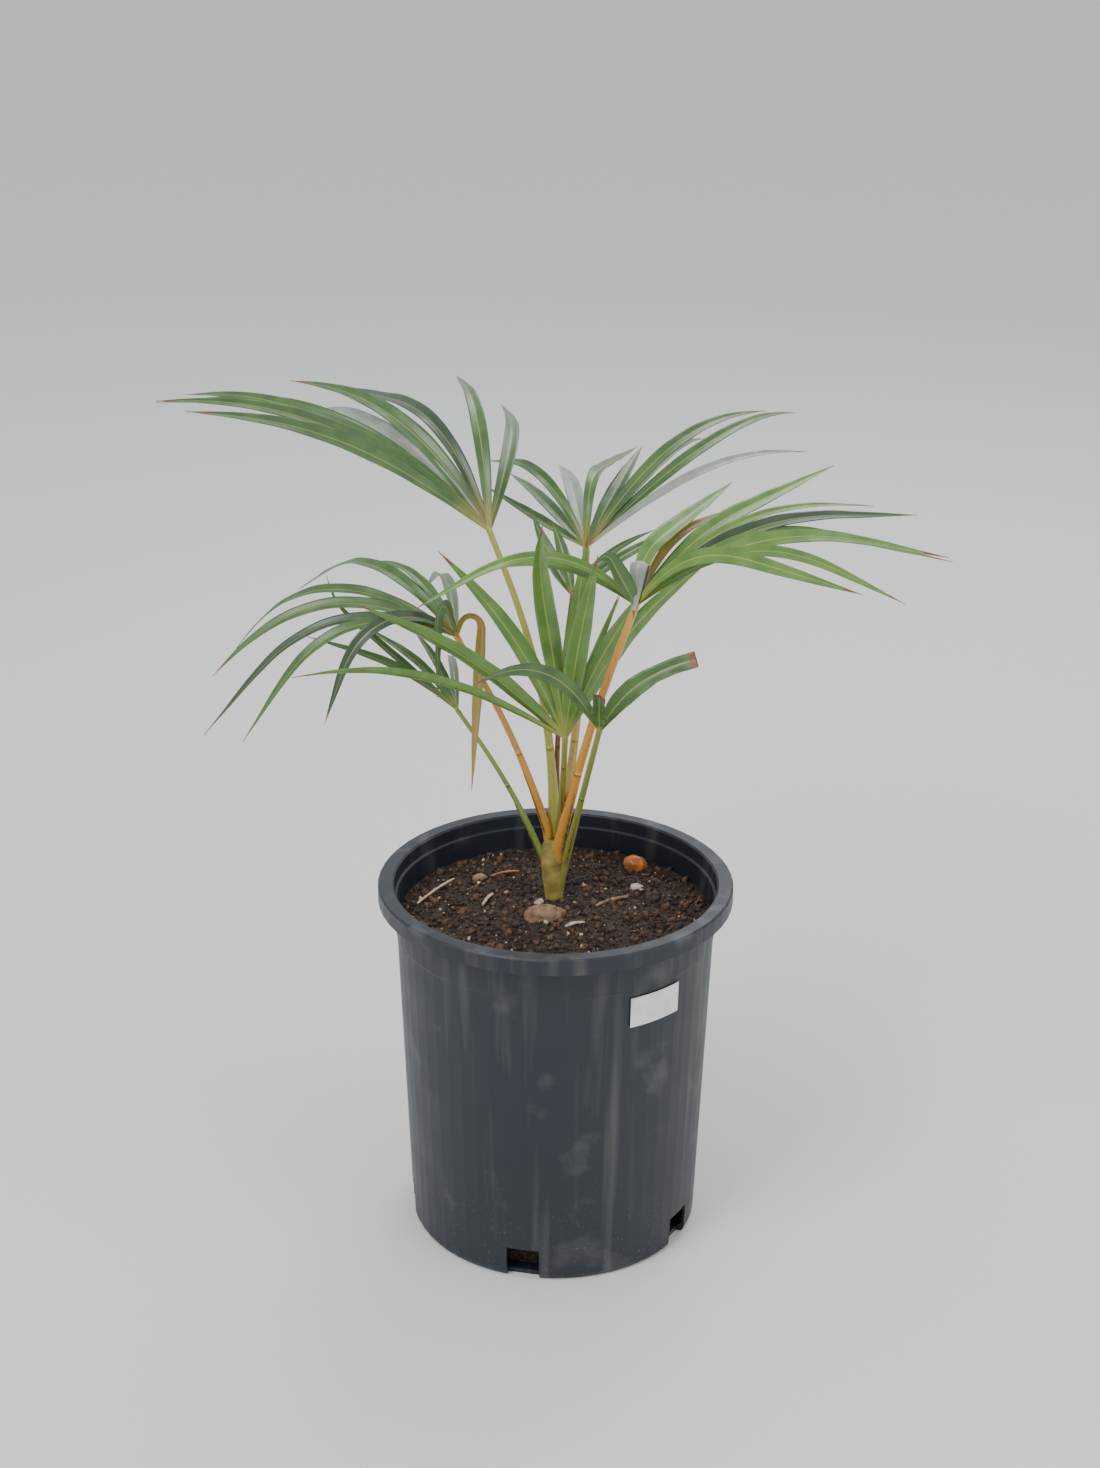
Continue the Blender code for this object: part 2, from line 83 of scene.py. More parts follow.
LEAFLETS = {
    "upper_left": (
        Leaflet(200, 40, 310, 26, 28, 14),
        Leaflet(193, 42, 345, 31, 42, 12),
        Leaflet(180, 43, 325, 55, -45, 12),
        Leaflet(170, 43, 370, 54, -30, 12, 0.4, 0.4),
        Leaflet(153, 44, 310, 60, -35, 13, 0.4, 0.4),
        Leaflet(144, 48, 254, 53, -6, 16),
        Leaflet(128, 56, 325, 63, -8, 13, 0.3, 0.3),
        Leaflet(100, 65, 235, 70, 0, 13, 0.4, 0.4),
        Leaflet(78, 30, 285, 38, 18, 13, 0.4, 0.4),
    ),
    "back": (
        Leaflet(134, 12, 130, 0, 0, 9),
        Leaflet(126, 46, 196, 60, -10, 10, 0.4, 0.4),
        Leaflet(114, 12, 200, 18, -8, 11),
        Leaflet(96, 16, 220, 27, 0, 15),
        Leaflet(84, 83, 244, 91, -8, 12, 0.2, 0.2),
        Leaflet(70, 22, 178, 16, 5, 14),
        Leaflet(56, 26, 280, 40, 18, 9),
        Leaflet(45, 40, 272, 49, 8, 12),
        Leaflet(37, 32, 335, 45, 28, 11),
        Leaflet(24, 33, 262, 46, 24, 8),
    ),
    "right": (
        Leaflet(173, 37, 134, 54, 0, 9),
        Leaflet(183, 45, 200, 76, 0, 9, 0.4, 0.4),
        Leaflet(60, 85, 176, 75, -4, 16, 0.2, 0.2),
        Leaflet(54, 49, 200, 52, 0, 9, 0.3, 0.3),
        Leaflet(42, 36, 257, 30, 5, 15, 0.3, 0.3),
        Leaflet(30, 38, 228, 46, -12, 9),
        Leaflet(19, 37, 261, 43, 3, 13, 0.4, 0.4),
        Leaflet(9, 41, 330, 60, 25, 8, 0.3, 0.3),
        Leaflet(-4, 39, 272, 54, 20, 13, 0.4, 0.4),
        Leaflet(-17, 41, 262, 48, -32, 10, 0.4, 0.4),
        Leaflet(-29, 54, 226, 56, -12, 13, 0.3, 0.3),
        Leaflet(244, 112, 86, 194, 0, 15, 0.44, 0.14),
        Leaflet(221, 58, 74, 102, 0, 14, 0.8, 0.15),
    ),
    "front": (
        Leaflet(200, 35, 290, 24, 34, 9),
        Leaflet(194, 47, 228, 18, 18, 15),
        Leaflet(202, 68, 206, 20, 0, 15),
        Leaflet(248, 73, 290, 36, 25, 17),
        Leaflet(284, 68, 211, 10, 0, 18),
        Leaflet(50, 84, 172, 6, 0, 15),
        Leaflet(70, 35, 160, 10, 0, 8),
        Leaflet(60, 50, 134, 4, 0, 8),
        Leaflet(40, 61, 145, 18, 0, 16),
        Leaflet(38, 55, 208, 36, 4, 16),
    ),
    "left": (
        Leaflet(-8, 76, 184, 170, 0, 10, 0.14, 0.1),
        Leaflet(96, 14, 236, 45, 6, 12),
        Leaflet(132, 47, 134, 63, 0, 10),
        Leaflet(146, 40, 230, 71, -20, 13, 0.4, 0.4),
        Leaflet(160, 26, 242, 76, -12, 11),
        Leaflet(172, 25, 224, 71, 15, 12),
        Leaflet(184, 22, 248, 72, 0, 10, 0.4, 0.4),
        Leaflet(195, 25, 222, 81, -6, 10, 0.4, 0.4),
        Leaflet(205, 40, 168, 109, 0, 11, 0.4, 0.4),
        Leaflet(244, 62, 121, 152, 0, 11, 0.36, 0.14),
    ),
    "lower_left": (
        Leaflet(174, 41, 140, 26, 0, 8, 0.4, 0.4),
        Leaflet(160, 36, 158, -40, 0, 7, 0.85, 0.15),
        Leaflet(148, 48, 112, 29, 0, 8, 0.4, 0.4),
        Leaflet(122, 48, 90, 30, 0, 8),
        Leaflet(95, 16, 157, 39, 0, 8),
    ),
    "lower_right": (
        Leaflet(205, 61, 158, 66, 24, 13),
        Leaflet(268, 60, 44, 0, 0, 14, 0.5, 0.5, True),
        Leaflet(0, 59, 101, 41, 0, 17, 0.5, 0.5, True),
    ),
    "inner": (
        Leaflet(130, 40, 80, -15, 0, 12),
        Leaflet(112, 60, 70, 25, 0, 11),
        Leaflet(20, 51, 90, 34, 0, 7),
        Leaflet(0, 43, 112, 22, 0, 9),
    ),
}
COURSE_STEPS = 20

# Stem, sheaths and stalks
STEM_X = -1.5 * MM
STEM_Y = 21 * MM
STEM_RINGS = ((0, 7.6), (7, 8.8), (20, 10.6), (38, 12.2), (50, 11.2), (59, 7.5))  # height, radius
STEM_ROWS = 40
STEM_SIDES = 40
FURROWS = 5
FURROW_DEPTH = 0.09  # share of the stem's radius
FURROW_TWIST = 14  # radians of their sine a metre of height
FURROW_ROUNDING = 0.6
SHEATH_LENGTH = 80 * MM
SHEATH_FAT = 1.25  # times the stalk's thickness, at the foot
SHEATH_ROOT_DROP = 30 * MM
SHEATH_ROOT_LEAN = 0.55  # 1 starts a sheath on the stem's axis, 0 under its own foot
SHEATH_ROOT_THIN = 0.8
SHEATH_ROOT_END = 0.9
SHEATH_ROOT_ROWS = 8
SHEATH_ROWS = 26
SHEATH_CHANNEL = 0.1
STALK_ROWS = 40
STALK_SIDES = 16
STALK_CHANNEL = 0.16
STALK_THINNING = 0.7
NEAR_UP = (0.02, -0.03, 1.0)  # almost straight up, so that no stalk lies along it
MARGIN_ROWS = 40
MARGIN_REACH = 0.75  # share of the sheath's length
MARGIN_TURNS = (-2.2, -0.9)  # radians round the sheath
MARGIN_WIDTH = 0.55  # share of the sheath's radius
MARGIN_LEAST = 0.1 * MM
MARGIN_THICK = 0.25 * MM
MARGIN_WAVES = (60, 23)  # radians over its length
MARGIN_RAGGED = 0.3  # share of its width that comes and goes
MARGIN_FADE = 0.8
MARGIN_FLARE = 0.5  # outwards, as a share of its width
MARGIN_ROOT = 0.97  # share of the sheath's radius
MARGIN_ROOT_FALL = 0.12
MARGIN_SEED = 40
KNOT_SPAN = (-6 * MM, 4 * MM)  # before and past the stalk's end
KNOT_ROWS = 9
KNOT_ELLIPSE = (-0.5, 1)  # the stretch of an ellipse that the span follows
KNOT_BULGE = 1.12
KNOT_LIMITS = (0.05, 1.1)

# Leaflet blades
WIDEST = 0.4  # share of the length
ROOT_WIDTH = 0.28  # share of the greatest width
TIP_WIDTH = 0.03
CUT_WIDTH = 0.8
SPANS = 56
HALF_SECTION = 9
LEAF_THICK = 0.5 * MM
LEAF_EXTRA = 0.12 * MM  # added all over
FOLD_FLATTENING = 0.55  # how much of the fold is gone at the tip
FOLD_CURVE = 1.15
TWIST = 9  # degrees at the tip, at most, either way
WOBBLE = 3  # degrees
WOBBLE_WAVES = 9  # radians over the length
EDGE_WAVE = 0.05  # share of the half width
EDGE_WAVES = 34
BLADE_SEED = 100

# Soil
SOIL_RADIUS = 133.2 * MM
SOIL_FLAT_RADIUS = 60 * MM
SOIL_DROP = 4 * MM
SOIL_LIFT = 1.3 * MM  # above the potting mix's solid
SOIL_BED = 6 * MM  # below that solid's top
SOIL_BED_RING = 0.05  # share of the radius at which the bed's cap begins
SOIL_CROWDING = 0.8  # below 1, the rings lie closer together near the wall
SOIL_ROWS = 90
SOIL_SIDES = 240
BROAD_LUMPS = (0.55, 30 * MM, 3)  # share of the relief, size, seed
FINE_LUMPS = (0.4, 11 * MM, 4)
RIPPLE_WAVES = 14
RIPPLE_TURNS = (0.6, 1.6)  # full turns of a wave over the scale
RIPPLE_CALM = 1.4
CRUMB_LIFT = 0.25  # share of its size by which a crumb's middle stands above the soil
CRUMB_STRETCH = (0.45, 1.3)
CRUMB_CORNERS = (0.7, 1.2)
CRUMB_RARITY = 4  # the higher, the fewer large crumbs

# Loose pieces in the soil: places, sizes and thicknesses in millimetres
Crumbs = namedtuple("Crumbs", "finish one_in seed smallest largest reach")
Lump = namedtuple("Lump", "finish centre sizes turn seed rough")
Straw = namedtuple("Straw", "finish first last thick seed")
CRUMBS = (
    Crumbs("soil", 1, 11, 0.6, 3.2, 130),
    Crumbs("bark_bits", 3, 12, 0.7, 4.5, 130),
    Crumbs("pale_chips", 40, 13, 0.6, 2.2, 128),
    Crumbs("straw", 40, 14, 0.7, 3.0, 128),
)
LUMPS = (
    Lump("woody_seed", (-9, -18, 292), (34, 22, 18), 15, 5, 0.16),
    Lump("amber_lump", (70, 86, 291), (22, 17, 16), -20, 6, 0.10),
    Lump("woody_seed", (-66, 59, 289), (13, 9, 8), 10, 7, 0.12),
    Lump("pale_chips", (70, 40, 290), (11, 8, 7), 0, 8, 0.15),
    Lump("soil", (82, 22, 289), (18, 14, 10), 30, 9, 0.2),
    Lump("pale_chips", (-14, 8, 291), (9, 6, 5), 40, 10, 0.2),
)
STRAWS = (
    Straw("straw", (-118, 10, 288), (-88, 52, 292), 2.2, 1),
    Straw("straw", (-62, 2, 291), (-54, 22, 292), 3.0, 2),
    Straw("woody_seed", (34, 4, 290), (62, 20, 291), 3.4, 3),
    Straw("amber_lump", (-56, 62, 290), (-32, 70, 291), 2.0, 4),
    Straw("pale_chips", (-24, -22, 290), (-6, -30, 290), 3.5, 5),
    Straw("pale_chips", (8, -36, 290), (24, -28, 290), 3.0, 6),
)
LUMP_ROWS = 18
LUMP_SIDES = 24
LUMP_GRAIN = 1.1  # size of its ripples on a ball of radius 1
LUMP_POLE = 0.03  # radians between a pole and its first ring
STRAW_ROWS = 16
STRAW_SIDES = 8
STRAW_BOW = 1.5 * MM
STRAW_CHANNEL = 0.2
STRAW_UNEVEN = 0.2
STRAW_END = 0.35  # radians of the thinning sine left out at each end
STRAW_BLUNTNESS = 0.3

# Label
LABEL_TURN = (27, 48.5)  # bearings from the front, towards +X
LABEL_HEIGHT = (240.5 * MM, 267.5 * MM)
LABEL_RADIUS = (134.3 * MM, 135.1 * MM)  # just off the pot's wall, at the label's foot and top
LABEL_THICK = 0.25 * MM
LABEL_ROWS = 12
LABEL_COLUMNS = 24

# Stage
Lamp = namedtuple("Lamp", "name place power size")
LAMPS = (
    Lamp("key", (-1.3, -1.5, 2.6), 42, 1.1),
    Lamp("fill", (1.9, -1.2, 1.6), 14, 1.6),
    Lamp("back", (0.6, 1.9, 2.2), 22, 1.4),
)
LAMP_AIM = (0, 0, 0.35)
SKY_COLOUR = (0.93, 0.96, 1.0)
SKY_STRENGTH = 0.85
FLOOR_SIZE = 60
FLOOR_ROUGHNESS = 0.9
FOCAL_PIXELS = 2506
IMAGE_HEIGHT = 1468
SENSOR = 36
CAMERA_PITCH = 0.38644
CAMERA_ROLL = 0.00635
CAMERA_DISTANCE = 2.0671
CAMERA_AIM = (-0.005546, 0, 0.44897)

# Finishes of two tones. The stalks run from green to orange and red-brown.
BLACK = (0, 0, 0)
PALE = (0.8, 0.8, 0.8)
TONE_MARKS = (0.35, 0.66)  # the noise at which a finish is all dark, and all light
STALK_TONES = {
    "upper_left": ((0.36, 0.36, 0.06), (0.46, 0.38, 0.07)),
    "back": ((0.40, 0.30, 0.05), (0.50, 0.34, 0.07)),
    "right": ((0.62, 0.27, 0.04), (0.72, 0.36, 0.07)),
    "front": ((0.24, 0.22, 0.04), (0.34, 0.28, 0.05)),
    "left": ((0.60, 0.28, 0.04), (0.66, 0.36, 0.08)),
    "lower_left": ((0.20, 0.30, 0.06), (0.30, 0.36, 0.08)),
    "lower_right": ((0.22, 0.25, 0.05), (0.34, 0.30, 0.06)),
    "inner": ((0.16, 0.05, 0.025), (0.26, 0.10, 0.03)),
}
LEAF_TONES = {
    "leaf_green": ((0.050, 0.115, 0.030), (0.085, 0.175, 0.040)),
    "leaf_bright": ((0.090, 0.200, 0.035), (0.150, 0.280, 0.050)),
    "leaf_dark": ((0.030, 0.060, 0.028), (0.050, 0.090, 0.036)),
    "leaf_grey": ((0.230, 0.270, 0.230), (0.360, 0.400, 0.350)),
    "leaf_yellow": ((0.240, 0.220, 0.035), (0.380, 0.200, 0.040)),
}
LEAF_NAMES = tuple(LEAF_TONES)
PLAIN_TONE = {"front": "leaf_bright", "right": "leaf_bright"}
LEAF_PICKS = {  # the leaflets that differ from their fan's plain tone
    ("upper_left", 4): "leaf_grey",
    ("upper_left", 6): "leaf_dark",
    ("back", 3): "leaf_grey",
    ("back", 9): "leaf_grey",
    ("right", 3): "leaf_yellow",
    ("right", 6): "leaf_dark",
    ("right", 11): "leaf_grey",
    ("right", 12): "leaf_green",
    ("left", 0): "leaf_yellow",
    ("left", 6): "leaf_dark",
    ("left", 8): "leaf_dark",
}
LEAF_GLOSS = (0.34, 0.15, 0.3)  # roughness, coat and the coat's roughness
LEAF_GRAIN = 55
LEAF_MARKS = (0.35, 0.68)
VEINS = 26  # round the blade's section
VEIN_STRENGTH = 0.12  # of their tint and of their bump
VEIN_DEPTH = 0.2 * MM
RIB_PLACE = 0.47  # share of each face's width
RIB_SHARPNESS = 22
RIB_TINT = (0.62, 0.55, 0.18)
RIB_SHARE = 0.45
ROOT_TINT = (0.42, 0.36, 0.08)
ROOT_REACH = 0.14
TIP_TINT = (0.20, 0.085, 0.03)
TIP_START = 0.985
TIP_RAGGED = 0.12
TIP_GRAIN = 38
STALK_GLOSS = (0.32, 0.12, 0.25)
STALK_GRAIN = 30
STALK_STRETCH = (1, 1, 0.12)
RIDGE_GRAIN = 160
RIDGE_STRETCH = (1, 1, 0.05)
RIDGE_STRENGTH = 0.15
RIDGE_DEPTH = 0.4 * MM
Finish = namedtuple("Finish", "dark light roughness grain depth strength", defaults=(1.0 * MM, 0.6))
FINISHES = {
    "stem_core": Finish((0.20, 0.15, 0.04), (0.44, 0.36, 0.09), 0.5, 70, 0.6 * MM),
    "dry_sheath": Finish((0.10, 0.045, 0.02), (0.30, 0.17, 0.08), 0.7, 160, 0.4 * MM),
    "soil": Finish((0.012, 0.008, 0.006), (0.060, 0.038, 0.026), 0.95, 260, 1.5 * MM, 1.0),
    "bark_bits": Finish((0.05, 0.026, 0.015), (0.16, 0.085, 0.045), 0.85, 300),
    "pale_chips": Finish((0.36, 0.30, 0.22), (0.62, 0.56, 0.46), 0.8, 220),
    "straw": Finish((0.42, 0.30, 0.15), (0.66, 0.52, 0.30), 0.7, 120),
    "amber_lump": Finish((0.40, 0.11, 0.02), (0.66, 0.26, 0.06), 0.3, 90),
    "woody_seed": Finish((0.16, 0.085, 0.045), (0.36, 0.22, 0.13), 0.75, 130, 2.0 * MM, 1.0),
    "label_paper": Finish((0.72, 0.72, 0.70), (0.86, 0.86, 0.85), 0.5, 60, 0.2 * MM, 0.2),
}
SOIL_FINISHES = ("soil", "bark_bits", "pale_chips", "straw", "amber_lump", "woody_seed")
Marks = namedtuple("Marks", "tint grain detail start end strength stretch", defaults=((1, 1, 1),))
STALK_FLECKS = Marks((0.12, 0.06, 0.02), 420, 2, 0.62, 0.70, 0.5)
POT_DUST = Marks((0.20, 0.19, 0.17), 46, 3, 0.56, 0.78, 0.35, (1, 1, 0.05))
POT_SCUFFS = Marks((0.17, 0.165, 0.155), 24, 8, 0.58, 0.76, 0.3)
POT_SPECKS = Marks((0.34, 0.30, 0.25), 520, 2, 0.66, 0.74, 0.5)
POT_HEIGHT_SCALE = 3.0  # brings the pot's height in metres to just under 1
POT_SPECKS_TOP = 0.35  # of that scaled height
# pale painted highlight along the rim's top, where the light falls on it, broken up by the scuff noise
POT_RIM_HIGHLIGHT = (0.40, 0.39, 0.37)
POT_RIM_MARKS = (0.935, 0.95)  # of that scaled height
POT_RIM_STRENGTH = 0.5
POT_ROUGHNESS = (0.36, 0.2)  # the least, and how much the noise adds
POT_ROUGHNESS_GRAIN = 30
POT_GRAIN = 700
POT_GRAIN_STRENGTH = 0.12
POT_GRAIN_DEPTH = 0.2 * MM


class PalmSettings(bpy.types.PropertyGroup):
    """Sizes and colours of the leaflets, the soil, the pot and the floor."""

    fold: bpy.props.FloatProperty(
        name="Leaflet fold",
        description="Angle of each half above flat",
        default=np.radians(24),
        subtype="ANGLE",
    )
    crumbs: bpy.props.IntProperty(name="Soil crumbs", description="Number of loose crumbs", default=5200)
    soil_relief: bpy.props.FloatProperty(
        name="Soil relief",
        description="Height of the soil's lumps",
        default=1.6 * MM,
        unit="LENGTH",
    )
    pot_colour: bpy.props.FloatVectorProperty(
        name="Pot colour",
        description="Moulded plastic",
        subtype="COLOR",
        size=3,
        default=(0.012, 0.017, 0.026),
    )
    floor_colour: bpy.props.FloatVectorProperty(
        name="Floor colour",
        description="Pale studio floor",
        subtype="COLOR",
        size=3,
        default=(0.80, 0.80, 0.77),
    )


def direction(heading, rise):
    """Unit vectors of headings and rises given in radians."""
    level = np.cos(rise)
    return np.stack([level * np.cos(heading), level * np.sin(heading), np.sin(rise)], -1)


def course(start, shape, middle=0.5, spread=0.5, sway=0, steps=COURSE_STEPS):
    """A bending line: its rise falls by the droop and its heading turns by the sway, both as a smooth
    step of the share of the length, centred on middle and spread that far to each side."""

    def angles(share):
        step = np.clip((share - middle + spread) / (2 * spread), 0, 1)
        done = step * step * (3 - 2 * step)
        return np.radians(shape.heading + sway * done), np.radians(shape.rise - shape.droop * done)

    share = np.arange(steps + 1) / steps
    strides = direction(*angles(share[:-1] + 0.5 / steps)) * shape.length * MM / steps
    points = np.asarray(start, float) + np.vstack([np.zeros(3), np.cumsum(strides, 0)])
    heading, rise = angles(share)
    ahead = direction(heading, rise)
    above = direction(heading, rise + np.pi / 2)
    return points, ahead, above


def part_of(points, first, last, count):
    """Points evenly spaced along a polyline between two shares of its length."""
    run = np.concatenate([[0], np.cumsum(np.linalg.norm(np.diff(points, axis=0), axis=1))])
    wanted = np.linspace(first, last, count) * run[-1]
    return np.stack([np.interp(wanted, run, points[:, axis]) for axis in range(3)], -1)


def unit(vectors):
    """Each vector divided by its length."""
    return vectors / np.maximum(np.linalg.norm(vectors, axis=-1, keepdims=True), 1e-12)


def round_turns(count):
    """Evenly spaced angles round a circle."""
    return np.arange(count) * FULL_TURN / count


def ripple(points, scale, seed):
    """Smooth noise of about -1 to 1: a sum of sine waves over the points, each with a random direction and
    phase, and a random number of turns over the scale."""
    draw = np.random.default_rng(seed)
    headings = unit(draw.normal(size=(RIPPLE_WAVES, 3)))
    pushes = headings * draw.uniform(*RIPPLE_TURNS, (RIPPLE_WAVES, 1)) * FULL_TURN / scale
    total = np.sin(points @ pushes.T + draw.uniform(0, FULL_TURN, RIPPLE_WAVES)).sum(-1)
    return total / np.sqrt(RIPPLE_WAVES) / RIPPLE_CALM


def skin(rows, columns):
    """Quads of a grid of points whose last column joins its first."""
    row, column = np.meshgrid(np.arange(rows - 1), np.arange(columns), indexing="ij")
    after = (column + 1) % columns
    low = row * columns
    high = low + columns
    return np.stack([low + column, low + after, high + after, high + column], -1).reshape(-1, 4)


def cap(columns, offset):
    """Quads that close a ring of an even number of points by pairing its two halves."""
    near = np.arange(columns // 2 - 1)
    return np.stack([near, near + 1, columns - 2 - near, columns - 1 - near], -1) + offset


def outward(points, faces):
    """The faces, turned where the solid's signed volume is negative."""
    corner = points[faces]
    volume = (corner[:, 0] * np.cross(corner[:, 1], corner[:, 2])).sum()
    volume += (corner[:, 0] * np.cross(corner[:, 2], corner[:, 3])).sum()
    return faces if volume > 0 else faces[:, ::-1]


def lofted(rings, tone=0):
    """A closed solid through rings of shape (rows, columns, 3): the quads between each ring and the next,
    with both ends capped. Its UV is the share round the ring and the share along the rows, and a quad that
    crosses the ring's seam ends at 1."""
    rows, columns = rings.shape[:2]
    points = rings.reshape(-1, 3)
    ends = (cap(columns, 0), cap(columns, (rows - 1) * columns)[:, ::-1])
    faces = outward(points, np.vstack([skin(rows, columns), *ends]))
    along = np.repeat(np.arange(rows) / (rows - 1), columns)
    around = np.tile(np.arange(columns) / columns, rows)
    uv = np.stack([around[faces], along[faces]], -1)
    seam = (uv[..., 0].max(1) - uv[..., 0].min(1) > 0.6)[:, None] & (uv[..., 0] < 0.1)
    uv[..., 0] = np.where(seam, 1.0, uv[..., 0])
    return points, faces, uv, np.full(len(faces), tone)


def fill_mesh(mesh, patches):
    """Puts the patches' points, quads, UV and tones into a mesh, one after the other."""
    starts = np.cumsum([0] + [len(patch[0]) for patch in patches[:-1]])
    points = np.vstack([patch[0] for patch in patches])
    faces = np.vstack([patch[1] + start for patch, start in zip(patches, starts)])
    uv = np.concatenate([patch[2].reshape(-1, 2) for patch in patches])
    tones = np.concatenate([patch[3] for patch in patches])
    mesh.vertices.add(len(points))
    mesh.vertices.foreach_set("co", points.astype(np.float32).ravel())
    mesh.loops.add(faces.size)
    mesh.loops.foreach_set("vertex_index", faces.astype(np.int32).ravel())
    mesh.polygons.add(len(faces))
    mesh.polygons.foreach_set("loop_start", np.arange(0, faces.size, 4, dtype=np.int32))
    mesh.update(calc_edges=True)
    mesh.uv_layers.new(name="UVMap").data.foreach_set("uv", uv.astype(np.float32).ravel())
    mesh.polygons.foreach_set("material_index", tones.astype(np.int32))
    mesh.polygons.foreach_set("use_smooth", np.ones(len(faces), bool))
    mesh.validate()
    mesh.update()


def make_piece(name, patches, materials, replaced=()):
    """One smooth mesh object of several patches, riding on the root body."""
    mesh = bpy.data.meshes.new(name)
    for material in materials:
        mesh.materials.append(material)
    fill_mesh(mesh, patches)
    piece = bpy.data.objects.new(name, mesh)
    bpy.context.scene.collection.objects.link(piece)
    if replaced:
        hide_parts(*replaced)
    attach(piece, ROOT)


def add_node(tree, kind, **values):
    """A shader node with its sockets set by name, linked where the value is another node's socket."""
    node = tree.nodes.new(kind)
    for key, value in values.items():
        socket = node.inputs[key]
        if isinstance(value, bpy.types.NodeSocket):
            tree.links.new(value, socket)
        else:
            socket.default_value = value
    return node


def blank_material(name, roughness, coat=0, coat_roughness=0.03):
    """A material with its roughness and coat, its node tree and its shader."""
    material = bpy.data.materials.new(name)
    material.use_nodes = True
    shader = material.node_tree.nodes["Principled BSDF"]
    shader.inputs["Roughness"].default_value = roughness
    shader.inputs["Coat Weight"].default_value = coat
    shader.inputs["Coat Roughness"].default_value = coat_roughness
    return material, material.node_tree, shader


def colour_steps(tree, factor, marks, first, last):
    """A colour ramp from the first colour at the first mark to the last colour at the last mark."""
    ramp = tree.nodes.new("ShaderNodeValToRGB")
    for mark, place, colour in zip(ramp.color_ramp.elements, marks, (first, last)):
        mark.position = place
        mark.color = (*colour, 1)
    tree.links.new(factor, ramp.inputs["Fac"])
    return ramp.outputs["Color"]


def masked(tree, factor, start, end, strength=1):
    """A grey mask: nothing up to the start of the factor, rising to the strength at its end."""
    return colour_steps(tree, factor, (start, end), BLACK, (strength, strength, strength))


def mixed(tree, factor, first, second):
    """The first colour, turned into the second as the factor's socket rises."""
    mix = tree.nodes.new("ShaderNodeMix")
    mix.data_type = "RGBA"
    tree.links.new(factor, mix.inputs[0])
    for place, value in ((6, first), (7, second)):
        if isinstance(value, bpy.types.NodeSocket):
            tree.links.new(value, mix.inputs[place])
        else:
            mix.inputs[place].default_value = (*value, 1)
    return mix.outputs[2]


def computed(tree, operation, first, second=0.0, clamp=False):
    """One operation of arithmetic on two sockets or numbers."""
    math = tree.nodes.new("ShaderNodeMath")
    math.operation = operation
    math.use_clamp = clamp
    for place, value in enumerate((first, second)):
        if isinstance(value, bpy.types.NodeSocket):
            tree.links.new(value, math.inputs[place])
        else:
            math.inputs[place].default_value = value
    return math.outputs[0]


def noise(tree, scale, detail=4.0, stretch=(1, 1, 1)):
    """Noise on the piece's own object coordinates, stretched along its axes."""
    place = add_node(tree, "ShaderNodeTexCoord").outputs["Object"]
    mapping = add_node(tree, "ShaderNodeMapping", Vector=place, Scale=stretch)
    vector = mapping.outputs["Vector"]
    return add_node(tree, "ShaderNodeTexNoise", Vector=vector, Scale=scale, Detail=detail).outputs["Fac"]


def marked(tree, marks):
    """A mask of scattered marks: black where their noise is low, and their strength where it is high."""
    grain = noise(tree, marks.grain, marks.detail, marks.stretch)
    return masked(tree, grain, marks.start, marks.end, marks.strength)


def bumped(tree, shader, height, strength, distance):
    """Feeds the shader's normal with a bump."""
    bump = add_node(tree, "ShaderNodeBump", Height=height, Strength=strength, Distance=distance)
    tree.links.new(bump.outputs["Normal"], shader.inputs["Normal"])


def rib_mask(tree, around):
    """1 on the blade's fold, on both faces, falling to 0 beside it."""
    across = computed(tree, "FRACT", computed(tree, "MULTIPLY", around, 2))
    aside = computed(tree, "ABSOLUTE", computed(tree, "SUBTRACT", across, RIB_PLACE))
    return computed(tree, "SUBTRACT", 1.0, computed(tree, "MULTIPLY", aside, RIB_SHARPNESS), True)


def leaf_material(name):
    """Green blade: mottled tones, a pale rib on its fold, fine lengthwise veins and a brown tip."""
    dark, light = LEAF_TONES[name]
    material, tree, shader = blank_material(name, *LEAF_GLOSS)
    place = add_node(tree, "ShaderNodeTexCoord").outputs["UV"]
    uv = add_node(tree, "ShaderNodeSeparateXYZ", Vector=place)
    around = uv.outputs["X"]
    along = uv.outputs["Y"]
    tone = colour_steps(tree, noise(tree, LEAF_GRAIN), LEAF_MARKS, dark, light)
    veins = computed(tree, "SINE", computed(tree, "MULTIPLY", around, FULL_TURN * VEINS))
    tone = mixed(tree, computed(tree, "MULTIPLY", veins, VEIN_STRENGTH, True), tone, light)
    pale = tuple((1 - RIB_SHARE) * a + RIB_SHARE * b for a, b in zip(light, RIB_TINT))
    tone = mixed(tree, rib_mask(tree, around), tone, pale)
    root = colour_steps(tree, along, (0, ROOT_REACH), PALE, BLACK)
    tone = mixed(tree, root, tone, ROOT_TINT)
    uneven = computed(tree, "MULTIPLY", noise(tree, TIP_GRAIN), TIP_RAGGED)
    ragged = computed(tree, "ADD", along, uneven)
    tone = mixed(tree, masked(tree, ragged, TIP_START, 1), tone, TIP_TINT)
    tree.links.new(tone, shader.inputs["Base Color"])
    bumped(tree, shader, veins, VEIN_STRENGTH, VEIN_DEPTH)
    return material


def stalk_material(name):
    """Smooth stalk: two tones in long streaks, with small dark flecks."""
    dark, light = STALK_TONES[name]
    material, tree, shader = blank_material(f"stalk_{name}", *STALK_GLOSS)
    tone = colour_steps(tree, noise(tree, STALK_GRAIN, 3, STALK_STRETCH), TONE_MARKS, dark, light)
    tone = mixed(tree, marked(tree, STALK_FLECKS), tone, STALK_FLECKS.tint)
    tree.links.new(tone, shader.inputs["Base Color"])
    bumped(tree, shader, noise(tree, RIDGE_GRAIN, 2, RIDGE_STRETCH), RIDGE_STRENGTH, RIDGE_DEPTH)
    return material


